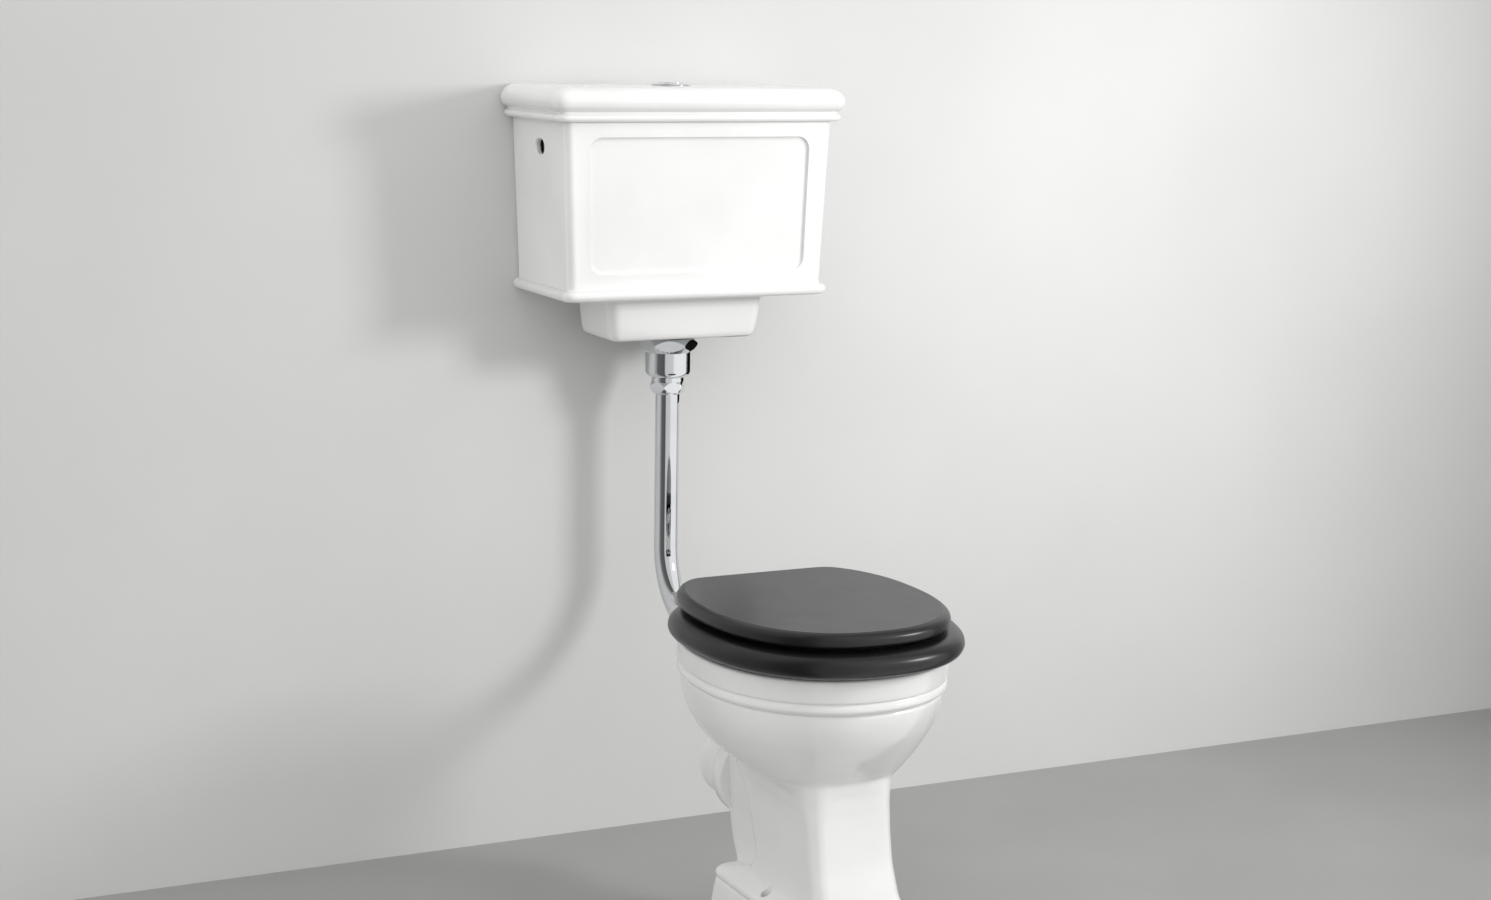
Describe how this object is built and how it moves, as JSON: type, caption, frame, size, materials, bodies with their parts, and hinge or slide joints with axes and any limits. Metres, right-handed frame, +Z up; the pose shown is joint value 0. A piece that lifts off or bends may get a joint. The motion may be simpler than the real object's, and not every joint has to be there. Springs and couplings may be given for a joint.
{
  "type": "low level toilet",
  "caption": "White ceramic toilet: floor pan with black wooden seat and lid, wall cistern with a push button in its lid, and a chrome flush pipe between them.",
  "frame": {"origin": "on the floor, midway between the two floor screw holes", "axes": "+Z up, front of the pan towards -Y, wall plane at y = 0.572, X = 0 is the centre line"},
  "size_m": [0.4418, 0.754, 1.0778],
  "materials": {
    "ceramic": "glossy white glaze",
    "chrome": "polished",
    "seat_wood": "black satin paint",
    "steel": "plain",
    "brass": "machined",
    "white_plastic": "moulded",
    "blue_plastic": "moulded",
    "black_rubber": "matte",
    "red_rubber": "matte"
  },
  "bodies": {
    "wc": {"pan": "ceramic", "flush_pipe": "chrome", "flush_cone": "black_rubber", "cistern_body": "ceramic", "valve_washer": "black_rubber", "valve_body": "white_plastic", "valve_cap": "blue_plastic", "outlet_washer": "black_rubber", "outlet_nut": "chrome", "pipe_seal": "black_rubber", "pipe_nut": "chrome", "lever_pins": "steel", "inlet_body": "brass", "inlet_washer": "black_rubber", "inlet_nut": "brass", "arm_pin": "steel", "hinge_rod": "chrome", "hinge_posts": "chrome", "hinge_studs": "steel", "stud_washers": "white_plastic", "wing_nuts": "white_plastic"},
    "stem": {"valve_stem": "white_plastic", "valve_seal": "red_rubber", "lift_yoke": "blue_plastic"},
    "lever_full": {"lever_full": "white_plastic"},
    "lever_half": {"lever_half": "white_plastic"},
    "half_float": {"half_float": "white_plastic"},
    "cistern_lid": {"cistern_lid": "ceramic", "button_bezel": "chrome", "bezel_nut": "white_plastic", "spring_full": "steel", "spring_half": "steel"},
    "button_full": {"button_full": "chrome", "rod_full": "white_plastic"},
    "button_half": {"button_half": "chrome", "rod_half": "white_plastic"},
    "piston": {"inlet_piston": "black_rubber"},
    "arm": {"inlet_arm": "brass", "inlet_float": "white_plastic"},
    "seat": {"seat_ring": "seat_wood", "ring_leaves": "chrome", "ring_screws": "steel", "ring_buffers": "black_rubber"},
    "lid": {"seat_lid": "seat_wood", "lid_leaves": "chrome", "lid_screws": "steel", "lid_buffers": "black_rubber"}
  },
  "joints": [
    {"name": "seat_hinge", "type": "hinge", "parent": "wc", "child": "seat", "pos_m": [0, 0.194, 0.4285], "axis": [-1, 0, 0], "range_deg": [0, 95]},
    {"name": "lid_hinge", "type": "hinge", "parent": "seat", "child": "lid", "pos_m": [0, 0.194, 0.4285], "axis": [1, 0, 0], "range_deg": [-100, 0]},
    {"name": "lid_lift", "type": "slide", "parent": "wc", "child": "cistern_lid", "axis": [0, 0, 1], "range_m": [0, 0.12]},
    {"name": "full_button", "type": "slide", "parent": "cistern_lid", "child": "button_full", "axis": [0, 0, -1], "range_m": [0, 0.007], "stiffness_N_per_m": 300, "springref_m": -0.006, "deforming": ["spring_full"]},
    {"name": "half_button", "type": "slide", "parent": "cistern_lid", "child": "button_half", "axis": [0, 0, -1], "range_m": [0, 0.007], "stiffness_N_per_m": 300, "springref_m": -0.006, "deforming": ["spring_half"]},
    {"name": "full_lever", "type": "hinge", "parent": "wc", "child": "lever_full", "pos_m": [-0.026, 0.4788, 0.98], "axis": [0, 1, 0], "range_deg": [0, 26]},
    {"name": "stem_lift", "type": "slide", "parent": "wc", "child": "stem", "axis": [0, 0, 1], "range_m": [0, 0.0055]},
    {"name": "half_lever", "type": "hinge", "parent": "wc", "child": "lever_half", "pos_m": [0.026, 0.4788, 0.98], "axis": [0, -1, 0], "range_deg": [0, 26]},
    {"name": "half_lift", "type": "slide", "parent": "wc", "child": "half_float", "axis": [0, 0, 1], "range_m": [0, 0.0055]},
    {"name": "float_arm", "type": "hinge", "parent": "wc", "child": "arm", "pos_m": [0.124, 0.47, 0.993], "axis": [0, -1, 0], "range_deg": [0, 25]},
    {"name": "piston_slide", "type": "slide", "parent": "wc", "child": "piston", "axis": [-1, 0, 0], "range_m": [0, 0.0007]}
  ],
  "couplings": [
    {"joint": "full_lever", "follows": "full_button", "rad_per_m": 64},
    {"joint": "stem_lift", "follows": "full_button", "ratio": 0.77},
    {"joint": "half_lever", "follows": "half_button", "rad_per_m": 64},
    {"joint": "half_lift", "follows": "half_button", "ratio": 0.77},
    {"joint": "piston_slide", "follows": "float_arm", "m_per_rad": 0.00142}
  ]
}
